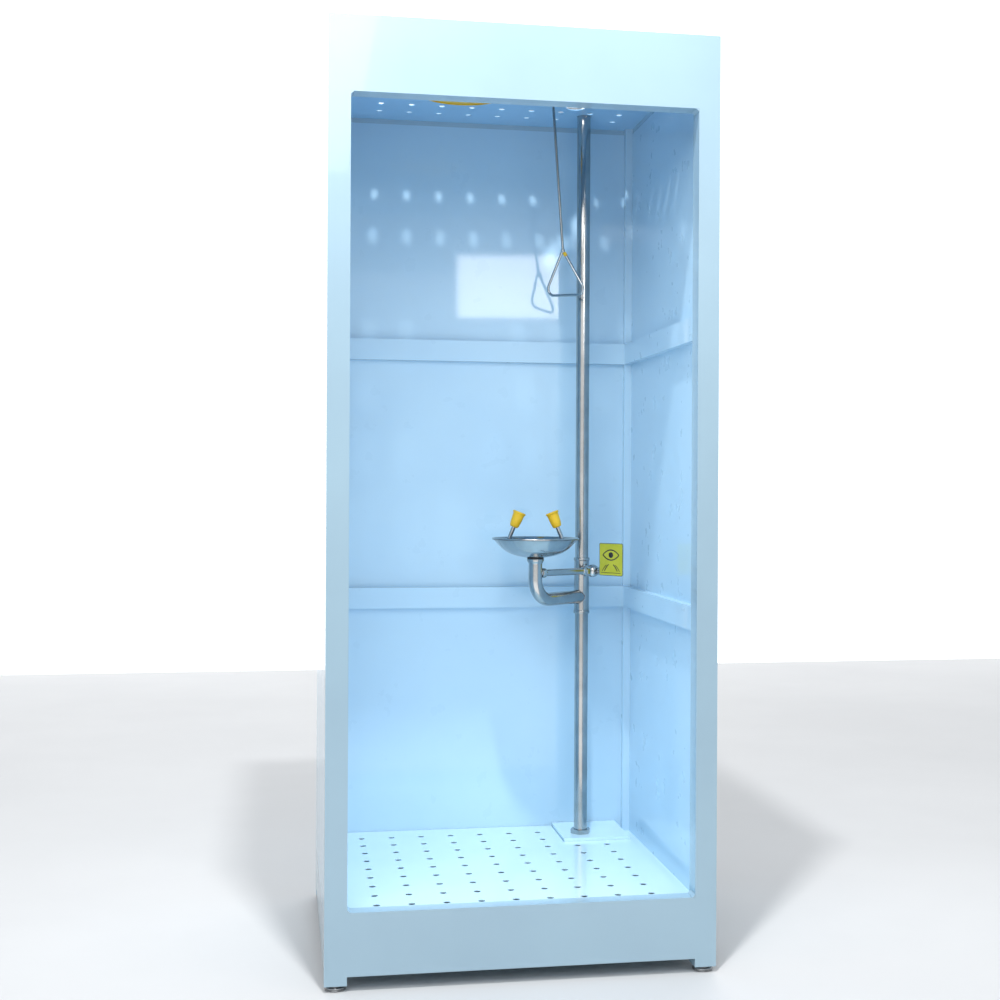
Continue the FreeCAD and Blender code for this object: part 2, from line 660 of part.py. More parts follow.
pipe("waste_pipe", "pipe_radius", "pipe_bore", "waste_end + thread_length", "tee_bottom + socket_depth",
     stub=("pipe_radius - 0.3", "waste_end", "waste_end + thread_length"))
pipe("riser_pipe", "pipe_radius", "pipe_bore", "tee_top - socket_depth", "arm_height - 38 + socket_depth")

finish_part("base_locknut", cut("base_locknut", hexagon(
    "locknut_hex", "locknut_circumradius", "plate_top", "plate_top + locknut_height"), [
    cylinder("locknut_bore", "pipe_radius", "plate_top - 1", "plate_top + locknut_height + 1")]), ARM)

# The tee joins the riser, the waste pipe, the bowl's drain and the eyewash valve. A wall between its two
# chambers keeps the fresh water above the waste.
tee_solid = fuse("tee_solid", [
    cylinder("tee_barrel", "tee_radius", "tee_bottom", "tee_top"),
    cylinder("tee_low_collar", "tee_collar", "tee_bottom", "tee_bottom + tee_collar_height"),
    cylinder("tee_high_collar", "tee_collar", "tee_top - tee_collar_height", "tee_top"),
    cylinder("tee_boss", "boss_radius", 0, "valve_offset - boss_gap", 0, "feed_height", "y")])
finish_part("combination_tee", cut("combination_tee", tee_solid, [
    cylinder("tee_low_socket", "pipe_radius", "tee_bottom - 1", "tee_bottom + socket_depth"),
    cylinder("tee_high_socket", "pipe_radius", "tee_top - socket_depth", "tee_top + 1"),
    cylinder("tee_low_bore", "pipe_bore", "tee_bottom", "drain_height + 27"),
    cylinder("tee_high_bore", "pipe_bore", "feed_height - 27", "tee_top"),
    cylinder("tee_drain_port", "drain_bore", 0, 40, 0, "drain_height", "x"),
    cylinder("tee_feed_port", "port_radius", 0, 60, 0, "feed_height", "y")]), ARM)

# ---------------------------------------------------------------- eyewash drain and bowl


def along_supply(name, radius, start, end):
    """A cylinder on the line from the eyewash valve to the bowl's neck."""
    solid = cylinder(name, radius, start, end, axis="x")
    return move(solid, VALVE, lying(start, 0, 0, "x"))


elbow = bent_tube("elbow_tube", [
    ("bowl_reach", "neck_top"), ("bowl_reach", "drain_height"), (0, "drain_height")],
                  ["elbow_radius"], "drain_radius", "drain_bore")
finish_part("drain_elbow", cut("drain_elbow", elbow, [
    cylinder("elbow_fishmouth", "tee_radius", "tee_bottom", "tee_top"),
    along_supply("elbow_supply_hole", "feed_radius", VALVE_TO_BOWL + " - 30", VALVE_TO_BOWL)]), ARM)

coupling = revolved("drain_coupling", [
    ("spigot_radius", "neck_top"), ("drain_radius", "neck_top"), ("coupling_radius", "coupling_top - 5.5"),
    ("coupling_radius", "coupling_top"), ("spigot_radius", "coupling_top")])
finish_part("drain_coupling", coupling, ARM, BOWL)

gasket = revolved("bowl_gasket", [
    ("spigot_radius + 1", "coupling_top"), ("coupling_radius - 1.5", "coupling_top"),
    ("coupling_radius - 1.5", "bowl_floor"), ("spigot_radius + 1", "bowl_floor")])
finish_part("bowl_gasket", gasket, ARM, BOWL)

bowl = revolved("bowl", [
    ("spigot_radius + 1", "bowl_floor"), (26, "bowl_floor", 134.5),
    ("rim_radius - 35.1", "rim_height - 37.2", 168.5), ("rim_radius - 2.6", "rim_height - 3.5"),
    ("rim_radius", "rim_height - 3.5"), ("rim_radius", "rim_height"), ("rim_radius - 2.2", "rim_height", -167),
    ("rim_radius - 36", "rim_height - 36", -133), (26, "bowl_floor + bowl_sheet"),
    ("spigot_radius + 1", "bowl_floor + bowl_sheet")])
finish_part("bowl", bowl, ARM, BOWL)

strainer_floor = "bowl_floor + bowl_sheet"
strainer = cut("strainer_cup", fuse("strainer_solid", [
    cylinder("strainer_flange", "coupling_radius - 1", strainer_floor, strainer_floor + " + 3"),
    cylinder("strainer_spigot", "spigot_radius", "neck_top + 1", strainer_floor)]), [
    cylinder("strainer_bore", "spigot_radius - 2", "neck_top", strainer_floor + " + 1"),
    cylinder("strainer_hub", "nozzle_tube_radius", strainer_floor, strainer_floor + " + 4"),
    *[move(cylinder("strainer_hole_%d" % number, 2.5, strainer_floor, strainer_floor + " + 4"),
           at(turn=number * 45), at(10.5, 0, strainer_floor)) for number in range(8)]])
finish_part("bowl_strainer", strainer, ARM, BOWL)

# ---------------------------------------------------------------- eyewash nozzles

foot_point = [("nozzle_foot", "nozzle_foot_height")]
arch = [("-nozzle_end", "nozzle_end_height"), ("-nozzle_foot", "nozzle_foot_height"), (0, "hub_height"),
        *foot_point, ("nozzle_end", "nozzle_end_height")]
bends = ["nozzle_bend", "nozzle_bend * 2", "nozzle_bend"]
hub_low, hub_high = "hub_height - 8", "hub_height + 6"
manifold = fuse("manifold_solid", [
    move(bent_tube("manifold_arms", arch, bends, "nozzle_tube_radius"), NOZZLES),
    cylinder("manifold_hub", "nozzle_tube_radius + 3", hub_low, hub_high, "bowl_reach"),
    cylinder("manifold_feed", "nozzle_tube_radius", "feed_height - 12", "hub_height", "bowl_reach")])
finish_part("nozzle_manifold", cut("nozzle_manifold", manifold, [
    move(bent_tube("manifold_arm_bores", arch, bends, "nozzle_bore"), NOZZLES),
    cylinder("manifold_feed_bore", "nozzle_bore", "feed_height - 10", "hub_height", "bowl_reach"),
    along_supply("manifold_feed_port", "nozzle_bore", VALVE_TO_BOWL + " - 12", VALVE_TO_BOWL)]), ARM)

HEADS = {
    "left": (NOZZLES, at("-nozzle_end", 0, "nozzle_end_height", "0; 1; 0", LEAN)),
    "right": (NOZZLES, at("nozzle_end", 0, "nozzle_end_height", "0; 1; 0", "-" + LEAN)),
}
heads = []
for name, frame in HEADS.items():
    head = revolved(name + "_head", [
        ("nozzle_tube_radius", -4), ("head_spray_radius", -4), ("head_spray_radius", 28),
        ("head_spray_radius - 2", 30), (3, 30), (3, 28), ("nozzle_tube_radius", 24), ("nozzle_tube_radius", 0)])
    heads.append(move(head, *frame))
    cap = revolved(name + "_dust_cap", [
        ("head_spray_radius + running_gap", -9), (10.6, -9), (12.5, 0), (16, 20), (17.5, 32), (18.8, 34.5),
        (18.8, 37), (17, 38), (0, 38), (0, 30.3), ("head_spray_radius + running_gap", 30.3)])
    finish_part(name + "_dust_cap", cap, ARM, *frame)
finish_part("spray_heads", together("spray_heads", heads), ARM)

# ---------------------------------------------------------------- eyewash supply and valve

tube_end = VALVE_TO_BOWL + " - nozzle_tube_radius + 1"
supply = cut("supply_tube", along_supply("supply_outside", "feed_radius", "valve_face", tube_end), [
    along_supply("supply_bore", "feed_bore", "valve_face - 1", VALVE_TO_BOWL),
    cylinder("supply_fishmouth", "nozzle_tube_radius", "feed_height - 20", "feed_height + 20", "bowl_reach")])
finish_part("supply_tube", supply, ARM)

neck_nut = cut("neck_nut", along_supply(
    "neck_nut_outside", 14.5, VALVE_TO_BOWL + " - 38", VALVE_TO_BOWL + " - 12"), [
    along_supply("neck_nut_bore", "feed_radius", VALVE_TO_BOWL + " - 40", VALVE_TO_BOWL),
    cylinder("neck_nut_saddle", "drain_radius", "drain_height", "neck_top + 5", "bowl_reach")])
valve_nut = cut("valve_nut", move(
    cone("valve_nut_outside", 17, "feed_radius + 1.5", 0, 21), VALVE, lying("valve_face", 0, 0, "x")), [
    along_supply("valve_nut_bore", "feed_radius", "valve_face - 1", "valve_face + 22")])
finish_part("supply_nuts", together("supply_nuts", [neck_nut, valve_nut]), ARM)

def meets(radius, other):
    """How far from a ball's middle its surface is at another radius."""
    return "sqrt((%s) ^ 2 - (%s) ^ 2)" % (radius, other)


# Both are turned about the stem. The ball's ports join its inlet pole to one side, which looks down while
# the valve is shut.
ball_z = "feed_height"
STEM = lying("valve_offset", 0, ball_z, "y")
globe, cavity, gland = "ball_radius + 8", "ball_radius + ball_gap", 12
stem_bore, inlet, ball_port = "stem_radius + running_gap", "boss_radius + 1", "(port_radius - 0.5)"
globe_body = revolved("eyewash_globe", [
    ("port_radius", "-boss_gap"), (inlet, "-boss_gap"), (inlet, "-" + meets(globe, inlet), globe),
    (gland, meets(globe, gland)), (gland, 20), (stem_bore, 20),
    (stem_bore, meets(cavity, stem_bore), "-(%s)" % cavity), ("port_radius", "-" + meets(cavity, "port_radius"))])
finish_part("eyewash_valve_body", cut("eyewash_valve_body", fuse("eyewash_body_solid", [
    move(globe_body, STEM), along_supply("eyewash_outlet", 12, 15, "valve_face")]), [
    along_supply("eyewash_outlet_bore", "port_radius", 5, 60)]), ARM)

ball_body = revolved("eyewash_ball_body", [
    (ball_port, "-" + meets("ball_radius", ball_port), "ball_radius"),
    ("stem_radius", meets("ball_radius", "stem_radius")), ("stem_radius", 7), (0, 7), (0, 0), (ball_port, 0)])
finish_part("eyewash_valve_ball", cut("eyewash_valve_ball", move(ball_body, STEM), [
    cylinder("eyewash_ball_side", ball_port, "feed_height - 15", "feed_height", 0, "valve_offset")]), ARM)
finish_part("eyewash_valve_stem", cylinder(
    "eyewash_valve_stem", "stem_radius", "valve_offset + 7", "push_left", 0, ball_z, "y"),
    ARM, lying("valve_offset + 7", 0, ball_z, "y"))


def rounded(left, right, low, high, radius):
    """The outline of a rectangle with rounded corners."""
    x0, x1 = "%s + %s" % (left, radius), "%s - (%s)" % (right, radius)
    y0, y1 = "%s + %s" % (low, radius), "%s - (%s)" % (high, radius)
    return [(x0, low), (x1, low, radius), (right, y0), (right, y1, radius),
            (x1, high), (x0, high, radius), (left, y1), (left, y0, radius)]


plate_body = new_body("push_sheet_body")
plate_face = sketch_on(plate_body, "YZ_Plane", "push_outline", "push_front - push_sheet")
push_right, push_top = "push_left + push_width", "push_bottom + push_height"
outline(plate_face, rounded("push_left", push_right, "push_bottom", push_top, "push_corner"))
pad(plate_body, plate_face, "push_sheet")
finish_part("push_plate", cut("push_plate", fuse("push_plate_solid", [
    plate_body, cylinder("push_hub", "push_front", "valve_offset + 22", "push_left + 12", 0, ball_z, "y")]), [
    cylinder("push_hub_bore", "stem_radius", "valve_offset + 20", "push_left", 0, ball_z, "y")]), ARM)

label_body = new_body("push_label")
label_face = sketch_on(label_body, "YZ_Plane", "label_outline", "push_front")
outline(label_face, rounded("push_left + 2", push_right + " - 2", "push_bottom + 2", push_top + " - 2",
                            "push_corner - 1"))
pad(label_body, label_face, "label_sheet")
finish_part("push_label", label_body, ARM)

# ---------------------------------------------------------------- drench shower

valve_x, valve_z = "shower_valve_reach", "arm_height"
valve_start, valve_end = "shower_valve_reach - valve_half", "shower_valve_reach + valve_half"

top_tee_solid = fuse("top_tee_solid", [
    cylinder("top_tee_barrel", "pipe_radius + 5", "arm_height - 38", "arm_height + 40"),
    cylinder("top_tee_branch", "arm_radius + 4", 0, 42, 0, "arm_height", "x")])
finish_part("top_tee", cut("top_tee", top_tee_solid, [
    cylinder("top_tee_socket", "pipe_radius", "arm_height - 39", "arm_height - 38 + socket_depth"),
    cylinder("top_tee_bore", "pipe_bore", "arm_height - 38", "arm_height + 41"),
    cylinder("top_tee_thread", "pipe_radius", "arm_height + 40 - socket_depth", "arm_height + 41"),
    cylinder("top_tee_port", "arm_bore", 0, 43, 0, "arm_height", "x"),
    cylinder("top_tee_arm_socket", "arm_radius", "42 - socket_depth", 43, 0, "arm_height", "x")]), ARM)
pipe("inlet_nipple", "inlet_radius", "pipe_bore", "arm_height + 40", "nipple_end",
     stub=("pipe_radius", "arm_height + 40 - socket_depth", "arm_height + 40"))
pipe("arm_nipple", "arm_radius", "arm_bore", "42 - socket_depth", valve_start + " + socket_depth - 3", "x", 0,
     "arm_height")

middle, chamber = "shower_ball_radius + 8", "shower_ball_radius + ball_gap"
barrel = fuse("shower_barrel", [
    cylinder("shower_barrel_middle", middle, valve_start + " + 6", valve_end + " - 6", 0, valve_z, "x"),
    hexagon("shower_barrel_hex", "shower_ball_radius + 6", valve_start, valve_end, 0, valve_z, "x"),
    cylinder("shower_gland", 12, 0, "lever_plane - 6", valve_x, valve_z, "y")])
finish_part("shower_valve_body", cut("shower_valve_body", barrel, [
    cylinder("shower_bore", "ball_port", valve_start + " - 1", valve_end + " + 1", 0, valve_z, "x"),
    cylinder("shower_inlet_socket", "arm_radius", valve_start + " - 1", valve_start + " + socket_depth - 3",
             0, valve_z, "x"),
    cylinder("shower_outlet_socket", "arm_radius", valve_end + " - socket_depth + 3", valve_end + " + 1",
             0, valve_z, "x"),
    sphere("shower_cavity", chamber, valve_x, 0, valve_z),
    cylinder("shower_stem_bore", "shower_stem_radius + running_gap", 0, "lever_plane", valve_x, valve_z, "y"),
]), ARM)

# The bore of the ball stands upright while the valve is shut.
finish_part("shower_valve_ball", cut("shower_valve_ball", sphere(
    "shower_ball_solid", "shower_ball_radius", valve_x, 0, valve_z), [
    cylinder("shower_ball_bore", "ball_port", "arm_height - 25", "arm_height + 25", valve_x, 0),
    cylinder("shower_ball_slot", "shower_stem_radius", "ball_port + 1.5", 25, valve_x, valve_z, "y")]), ARM)
finish_part("shower_valve_stem", cylinder(
    "shower_valve_stem", "shower_stem_radius", "ball_port + 1.5", "lever_plane + lever_sheet + 7",
    valve_x, valve_z, "y"), ARM, lying("ball_port + 1.5", valve_x, valve_z, "y"))


def shower_lever():
    """A strap from the stem to the link pin, drawn along +X and then raised to its rest angle."""
    strap = box("lever_strap", (0, "lever_length"), ("-lever_sheet", 0), ("-lever_half", "lever_half"))
    tip = cylinder("lever_tip", "lever_half", "-lever_sheet", 0, "lever_length", 0, "y")
    hub = cylinder("lever_hub", "lever_half + 2", "-lever_sheet", 0, axis="y")
    pin = cylinder("lever_pin", "rod_radius", "-(lever_plane - link_plane) - lever_sheet - 5", 0,
                   "lever_length", 0, "y")
    bore = cylinder("lever_bore", "shower_stem_radius", "-lever_sheet - 1", 1, axis="y")
    finish_part("shower_lever", cut("shower_lever", fuse("lever_solid", [strap, tip, hub, pin]), [bore]), ARM,
                at(valve_x, "lever_plane + lever_sheet", valve_z, "0; 1; 0", "-lever_rise"))


shower_lever()
nut_start = "lever_plane + lever_sheet"
finish_part("lever_nut", cut("lever_nut", hexagon("lever_nut_hex", 10, nut_start, nut_start + " + 5",
                                                  valve_x, valve_z, "y"), [
    cylinder("lever_nut_bore", "shower_stem_radius", nut_start + " - 1", nut_start + " + 6",
             valve_x, valve_z, "y")]), ARM)

arm = bent_tube("shower_arm", [(valve_end + " - socket_depth + 3", "arm_height"), ("head_reach", "arm_height"),
                               ("head_reach", "drop_end")], ["arm_bend"], "arm_radius", "arm_bore")
finish_part("shower_arm", arm, ARM)

HEAD = at("head_reach", 0, 0)
bell = revolved("shower_bell", [
    ("head_radius - 7", "head_rim"), ("head_radius", "head_rim"), ("head_radius", "head_rim + 5"),
    ("head_radius - 3", "head_rim + 8", 400), (34, "head_rim + 32"), ("pipe_radius", "head_rim + 38"),
    ("pipe_radius", "drop_end + 6"), ("arm_radius", "drop_end + 6"), ("arm_radius", "drop_end"),
    ("arm_bore", "drop_end"), ("arm_bore", "head_rim + 36"), (32, "head_rim + 30", -398),
    ("head_radius - 7", "head_rim + 6.4")])
finish_part("shower_bell", bell, ARM, HEAD)


def face_plate():
    """The shower's face with rings of spray holes."""
    body = new_body("face_disc")
    disc = sketch_on(body, "XY_Plane", "face_disc_outline", "face_bottom")
    ring(disc, 0, 0, "head_radius - 7")
    pad(body, disc, "panel_sheet")
    for number, count in enumerate((8, 16, 24, 32), start=1):
        hole = sketch_on(body, "XY_Plane", "face_hole_%d" % number, "face_bottom + panel_sheet + 1")
        ring(hole, "%d * face_ring_step" % number, 0, "face_hole_radius")
        pattern = body.newObject("PartDesign::PolarPattern", "face_ring_%d" % number)
        pattern.Originals = [pocket_through(body, hole)]
        pattern.Axis = (next(f for f in body.Origin.OriginFeatures if f.Role == "Z_Axis"), [""])
        pattern.Angle = 360
        pattern.Occurrences = count
        body.Tip = pattern
    finish_part("shower_face_plate", body, ARM, HEAD)


face_plate()

# ---------------------------------------------------------------- pull rod and handle

PIN_REACH = "(shower_valve_reach + lever_length * cos(lever_rise))"
PIN_HEIGHT = "(arm_height + lever_length * sin(lever_rise))"
run = [value(end) - value(start) for end, start in (
    (PIN_REACH, "rod_end_reach"), ("link_plane", "rod_end_side"), (PIN_HEIGHT, "rod_end_height"))]
rod = Vector(*run)
tilt_axis = Vector(0, 0, 1).cross(rod)
tilt_axis.normalize()
rod_tilt = "acos((%s - rod_end_height) / rod_length)" % PIN_HEIGHT
KNUCKLE = at("rod_end_reach", "rod_end_side", "rod_end_height",
             "%.6f; %.6f; 0" % (tilt_axis.x, tilt_axis.y), rod_tilt)
if abs(rod.Length - value("rod_length")) > 0.05:
    raise RuntimeError("rod_length should be %.2f" % rod.Length)

rod_bar = move(cylinder("rod_bar", "rod_radius", 0, "rod_length"), KNUCKLE)
finish_part("pull_rod", cut("pull_rod", fuse("pull_rod_solid", [
    rod_bar,
    sphere("rod_knuckle", "knuckle_radius", "rod_end_reach", "rod_end_side", "rod_end_height"),
    cylinder("rod_eye", "rod_radius + 5", "link_plane - 4", "link_plane + 4", PIN_REACH, PIN_HEIGHT, "y")]), [
    cylinder("rod_eye_bore", "rod_radius + running_gap", "link_plane - 5", "link_plane + 5",
             PIN_REACH, PIN_HEIGHT, "y")]), ARM)

# The handle is a triangle of bent rod in a plane through the pull rod, turned to face the opening.
HANDLE = (KNUCKLE, at(turn="handle_turn"), at(axis="0; 1; 0", turn="handle_sway"))
halves = [bent_tube("handle_%s_half" % name, [
    (0, 0), ("%shandle_half_width" % sign, "-handle_drop"), (0, "-handle_drop")], ["handle_corner"], "rod_radius")
    for name, sign in (("left", "-"), ("right", ""))]
finish_part("pull_handle", cut("pull_handle", fuse("handle_solid", halves), [
    sphere("handle_knuckle_cut", "knuckle_radius", 0, 0, 0)]), ARM, *HANDLE)

CLIP = (*HANDLE, at(axis="0; 1; 0", turn="180 deg - atan(handle_half_width / handle_drop)"))
finish_part("handle_clip", cut("handle_clip", cylinder("clip_outside", "rod_radius + 1.5", 9, 21), [
    cylinder("clip_bore", "rod_radius", 8, 22)]), ARM, *CLIP)

# ---------------------------------------------------------------- check and write

doc.recompute()
for thing in doc.Objects:
    if {"Invalid", "Error"} & set(thing.State):
        raise RuntimeError("%s is %s" % (thing.Name, thing.State))
os.makedirs("parts", exist_ok=True)
for label, thing in parts.items():
    if thing.Shape.isNull() or not thing.Shape.isValid() or thing.Shape.Volume <= 0:
        raise RuntimeError(label + " has no sound shape")
    thing.Shape.exportStep("parts/%s.step" % label)
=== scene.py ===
import json
import math

import bmesh
import bpy
from mathutils import Matrix, Vector


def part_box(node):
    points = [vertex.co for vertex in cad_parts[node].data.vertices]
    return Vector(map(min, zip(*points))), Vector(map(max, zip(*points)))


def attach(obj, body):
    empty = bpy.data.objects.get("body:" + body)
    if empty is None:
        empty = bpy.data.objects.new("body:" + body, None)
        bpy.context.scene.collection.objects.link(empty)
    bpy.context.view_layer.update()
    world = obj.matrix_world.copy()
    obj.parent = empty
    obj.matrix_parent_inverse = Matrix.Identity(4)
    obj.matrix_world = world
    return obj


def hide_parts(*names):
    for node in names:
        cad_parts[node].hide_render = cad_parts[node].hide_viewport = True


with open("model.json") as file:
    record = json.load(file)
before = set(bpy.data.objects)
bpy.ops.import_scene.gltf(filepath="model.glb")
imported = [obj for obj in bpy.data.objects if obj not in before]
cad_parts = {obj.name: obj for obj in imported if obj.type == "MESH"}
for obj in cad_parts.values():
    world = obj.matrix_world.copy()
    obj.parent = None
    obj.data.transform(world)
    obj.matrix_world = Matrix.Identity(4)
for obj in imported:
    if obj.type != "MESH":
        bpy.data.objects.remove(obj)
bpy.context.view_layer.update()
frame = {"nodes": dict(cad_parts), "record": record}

MM = 0.001


def shift(x, y, z):
    """A frame moved by millimetres."""
    return Matrix.Translation(Vector((x, y, z)) * MM)


def turned(degrees, axis):
    """A frame turned about one of its axes."""
    return Matrix.Rotation(math.radians(degrees), 4, axis)


# Sizes shared by several pieces, in millimetres. A bare name is a radius, and its BORE the inner one.
PIPE, PIPE_BORE = 20, 18
WASTE_END, WASTE_TOP, RISER_BOTTOM, RISER_TOP = 45, 879, 1024, 2424
TEE_BOTTOM, TEE_TOP, TEE, TEE_COLLAR = 867, 1036, 22.3, 24
DRAIN, DRAIN_BORE, DRAIN_HEIGHT, DRAIN_BEND = 19.8, 17.8, 918, 62
FEED, FEED_BORE, FEED_HEIGHT, VALVE_OFFSET, VALVE_FACE = 10, 8, 997, 42, 22
BOWL_REACH, NECK_TOP, COUPLING_TOP, BOWL_FLOOR = 216, 1024, 1038.5, 1042.5
NOZZLE, NOZZLE_BORE, NOZZLE_BEND, HUB_HEIGHT = 6, 4.5, 22, 1064
NOZZLE_FOOT, NOZZLE_FOOT_HEIGHT, NOZZLE_END, NOZZLE_END_HEIGHT = 84, 1080, 60.3, 1140
SHOWER_ARM, SHOWER_ARM_BORE, SHOWER_ARM_BEND = 17, 15, 45
ARM_START, ARM_HEIGHT, HEAD_REACH, DROP_END = 171.9, 2450, 529, 2386
THREAD_PITCH = 1.5

# Frames of the plumbing: the riser's axis with +X along both arms, the bowl's axis, the nozzles' plane.
ARM = shift(285, 262, 0) @ turned(220, "Z")
BOWL = ARM @ shift(BOWL_REACH, 0, 0)
NOZZLES = BOWL @ turned(130, "Z")

SLOT_OF = {entry["node"]: entry["material_slot"] for entry in frame["record"]["subparts"]}


# ---------------------------------------------------------------- materials


def ramp(nodes, links, source, low, high):
    """A colour that drifts between two others as a value near one half changes."""
    blend = nodes.new("ShaderNodeValToRGB")
    for element, place, colour in zip(blend.color_ramp.elements, (0.35, 0.65), (low, high)):
        element.position = place
        element.color = (*colour, 1)
    links.new(source, blend.inputs["Fac"])
    return blend.outputs["Color"]


def remap(nodes, links, source, low, high):
    """A value in 0..1 spread over another range."""
    change = nodes.new("ShaderNodeMapRange")
    change.inputs["To Min"].default_value = low
    change.inputs["To Max"].default_value = high
    links.new(source, change.inputs["Value"])
    return change.outputs["Result"]


def noise(nodes, links, scale, detail, stretch=(1, 1, 1)):
    """Noise in object coordinates, in metres, stretched along any axis."""
    where = nodes.new("ShaderNodeTexCoord")
    mapping = nodes.new("ShaderNodeMapping")
    mapping.inputs["Scale"].default_value = stretch
    texture = nodes.new("ShaderNodeTexNoise")
    texture.inputs["Scale"].default_value = scale
    texture.inputs["Detail"].default_value = detail
    links.new(where.outputs["Object"], mapping.inputs["Vector"])
    links.new(mapping.outputs["Vector"], texture.inputs["Vector"])
    return texture.outputs["Fac"]


CLOUD_DETAIL, GRAIN_DETAIL, GLOSS_DETAIL = 5, 3, 6
GLOSS_PER_CLOUD = 6
COAT_ROUGHNESS = 0.04


def finish_material(name, low, high, rough, metallic=0.0, coat=0.0, cloud=3, grain=400, stretch=(1, 1, 1),
                    bump=0.05, depth=0.0004, specular=0.5):
    """A surface with drifting colour, uneven gloss and a fine relief.

    The colour runs from low to high in clouds, cloud of them to the metre, and the gloss varies more finely
    over the range rough. The relief has grain swells to the metre, each at most depth metres deep.
    """
    made = bpy.data.materials.new(name)
    made.use_nodes = True
    nodes, links = made.node_tree.nodes, made.node_tree.links
    shader = nodes["Principled BSDF"]
    shader.inputs["Metallic"].default_value = metallic
    shader.inputs["Coat Weight"].default_value = coat
    shader.inputs["Coat Roughness"].default_value = COAT_ROUGHNESS
    shader.inputs["Specular IOR Level"].default_value = specular
    clouds = noise(nodes, links, cloud, CLOUD_DETAIL)
    links.new(ramp(nodes, links, clouds, low, high), shader.inputs["Base Color"])
    uneven = noise(nodes, links, cloud * GLOSS_PER_CLOUD, GLOSS_DETAIL, stretch)
    links.new(remap(nodes, links, uneven, *rough), shader.inputs["Roughness"])
    relief = nodes.new("ShaderNodeBump")
    relief.inputs["Strength"].default_value = bump
    relief.inputs["Distance"].default_value = depth
    links.new(noise(nodes, links, grain, GRAIN_DETAIL, stretch), relief.inputs["Height"])
    links.new(relief.outputs["Normal"], shader.inputs["Normal"])
    return made


# Each finish by name: its two colours, its range of roughness and whatever differs from plain plastic.
FINISHES = {
    "frame_paint": dict(low=(0.37, 0.53, 0.64), high=(0.39, 0.56, 0.67), rough=(0.16, 0.3),
                        coat=0.4, grain=260, bump=0.08),
    "wall_paint": dict(low=(0.45, 0.67, 0.84), high=(0.48, 0.70, 0.86), rough=(0.26, 0.3),
                       coat=0.6, grain=90, bump=0.012, specular=0.25),
    "ceiling_paint": dict(low=(0.30, 0.58, 0.86), high=(0.34, 0.62, 0.90), rough=(0.15, 0.3),
                          coat=0.4, grain=240),
    "floor_paint": dict(low=(0.56, 0.79, 0.93), high=(0.60, 0.83, 0.95), rough=(0.08, 0.2),
                        coat=0.5, grain=220),
    "galvanised": dict(low=(0.42, 0.46, 0.49), high=(0.62, 0.66, 0.68), rough=(0.3, 0.5),
                       metallic=1.0, cloud=40, grain=120),
    "foot_metal": dict(low=(0.30, 0.31, 0.32), high=(0.46, 0.47, 0.48), rough=(0.25, 0.45),
                       metallic=1.0, cloud=60, grain=900),
    "stainless": dict(low=(0.38, 0.385, 0.38), high=(0.48, 0.485, 0.48), rough=(0.1, 0.2),
                      metallic=1.0, cloud=12, grain=700, stretch=(1, 1, 0.05), depth=0.0002),
    "valve_chrome": dict(low=(0.6, 0.6, 0.62), high=(0.7, 0.7, 0.72), rough=(0.05, 0.12), metallic=1.0),
    "yellow_plastic": dict(low=(0.70, 0.44, 0.01), high=(0.78, 0.51, 0.02), rough=(0.3, 0.45),
                           cloud=30, grain=1500, bump=0.1),
    "black_rubber": dict(low=(0.012, 0.012, 0.013), high=(0.03, 0.03, 0.032), rough=(0.5, 0.7),
                         cloud=80, grain=2500, bump=0.2),
    "sign_plastic": dict(low=(0.38, 0.41, 0.03), high=(0.43, 0.46, 0.04), rough=(0.25, 0.4),
                         cloud=30, grain=1500),
    # Dark metal for the welds and seams, and for the band of painted shade and painted dark reflection under
    # the bowl's rim.
    "weld_and_rim_shade": dict(low=(0.12, 0.13, 0.14), high=(0.24, 0.25, 0.26), rough=(0.25, 0.45),
                 metallic=1.0, cloud=160, grain=1600, bump=0.25),
    "foot_band": dict(low=(0.05, 0.055, 0.06), high=(0.09, 0.095, 0.1), rough=(0.4, 0.6),
                      cloud=90, grain=1400, bump=0.1),
    "sign_ink": dict(low=(0.01, 0.01, 0.01), high=(0.02, 0.02, 0.02), rough=(0.4, 0.5),
                     cloud=60, grain=1800),
}
MATERIALS = {name: finish_material(name, **finish) for name, finish in FINISHES.items()}


# ---------------------------------------------------------------- mesh helpers


def shade(mesh, angle):
    """Smooth shading with creases at edges sharper than an angle in degrees."""
    mesh.shade_smooth()
    mesh.set_sharp_from_angle(angle=math.radians(angle))


def add_piece(name, work, slot, body, *replaced, look=None):
    """A finished bmesh becomes a piece that rides on a body and may stand for CAD nodes."""
    mesh = bpy.data.meshes.new(name)
    bmesh.ops.recalc_face_normals(work, faces=work.faces)
    work.to_mesh(mesh)
    work.free()
    piece = bpy.data.objects.new(name, mesh)
    bpy.context.scene.collection.objects.link(piece)
    for key in look or (slot,):
        mesh.materials.append(MATERIALS[key])
    shade(mesh, 35)
    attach(piece, body)
    if replaced:
        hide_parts(*replaced)
    return piece


def softened(points, steps=4):
    """A polyline whose corners (r, z, radius) are rounded. A corner without a radius stays sharp."""
    result = []
    for number, point in enumerate(points):
        here = Vector(point[:2])
        radius = point[2] if len(point) > 2 else 0
        if not radius or number in (0, len(points) - 1):
            result.append(here)
            continue
        back = Vector(points[number - 1][:2]) - here
        ahead = Vector(points[number + 1][:2]) - here
        start = here + back.normalized() * min(radius, back.length * 0.49)
        end = here + ahead.normalized() * min(radius, ahead.length * 0.49)
        for step in range(steps + 1):
            t = step / steps
            result.append(start * (1 - t) ** 2 + here * 2 * t * (1 - t) + end * t ** 2)
    return result


def circle(steps):
    """Evenly spaced angles round a circle."""
    return [2 * math.pi * k / steps for k in range(steps)]


